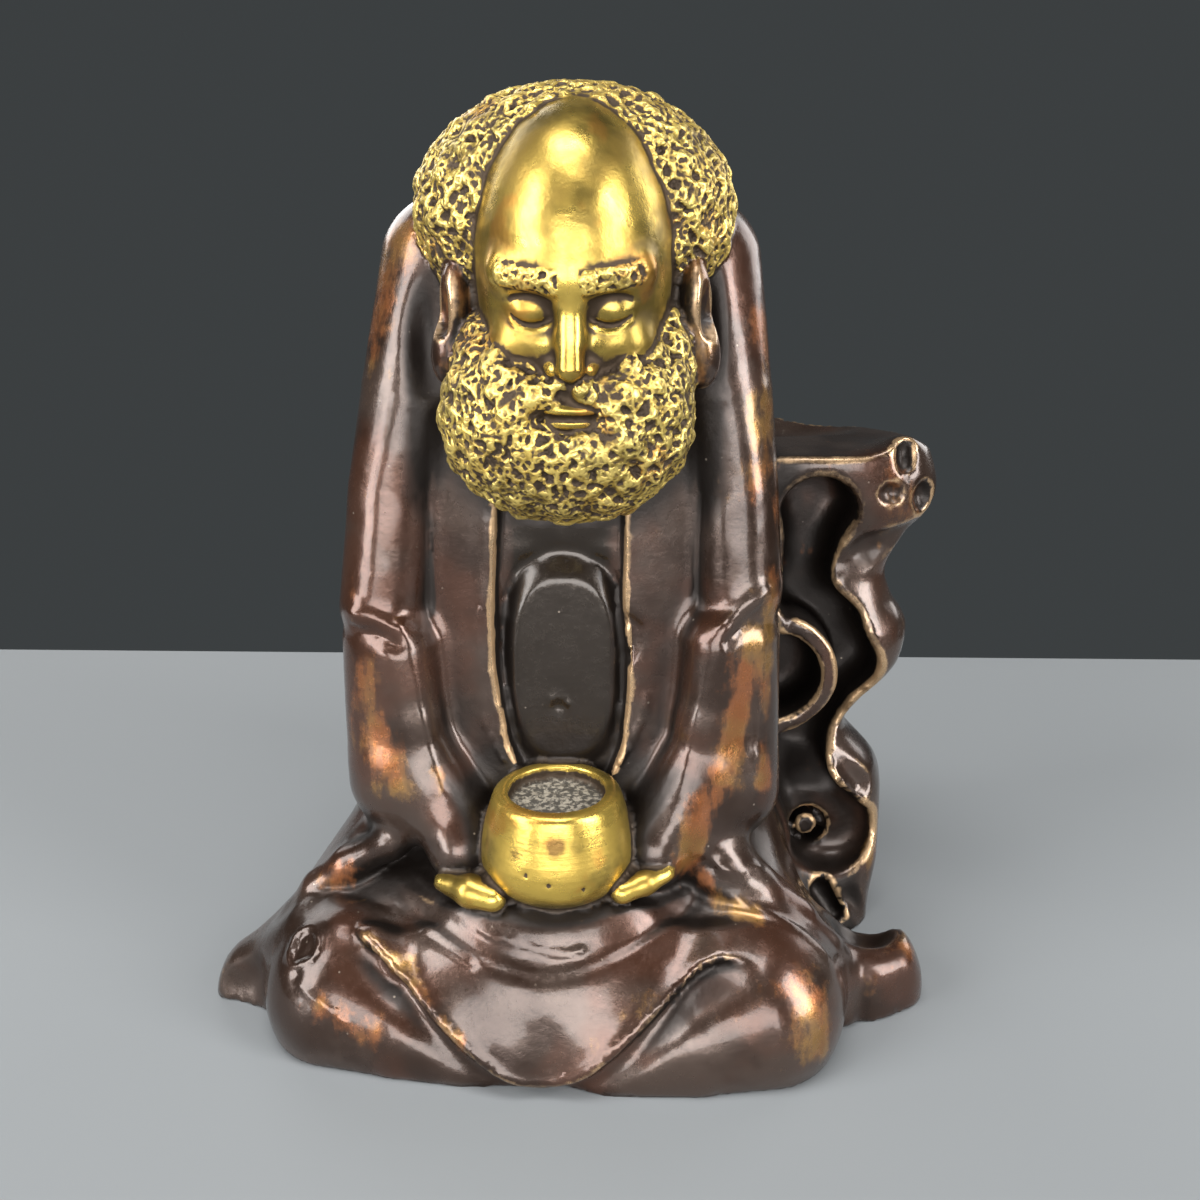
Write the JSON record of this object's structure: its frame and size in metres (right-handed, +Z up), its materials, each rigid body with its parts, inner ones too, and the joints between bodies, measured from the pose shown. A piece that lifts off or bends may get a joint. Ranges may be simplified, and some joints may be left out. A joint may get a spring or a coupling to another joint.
{
  "type": "incense burner",
  "caption": "Seated bearded sage in a robe holding a small bowl, cast in one with a pierced scholar's rock that rises behind him to a dished platform",
  "frame": {"origin": "on the flat underside, below the axis of the figure's trunk", "axes": "+Z up, the figure faces -Y, +X towards the side with the rock"},
  "size_m": [0.1366, 0.0953, 0.1601],
  "materials": {
    "patinated_brass": "dark brown glossy patina, worn to copper on the high folds, polished yellow on the head and bowl"
  },
  "bodies": {
    "root": {"cast_burner": "patinated_brass"}
  },
  "joints": []
}
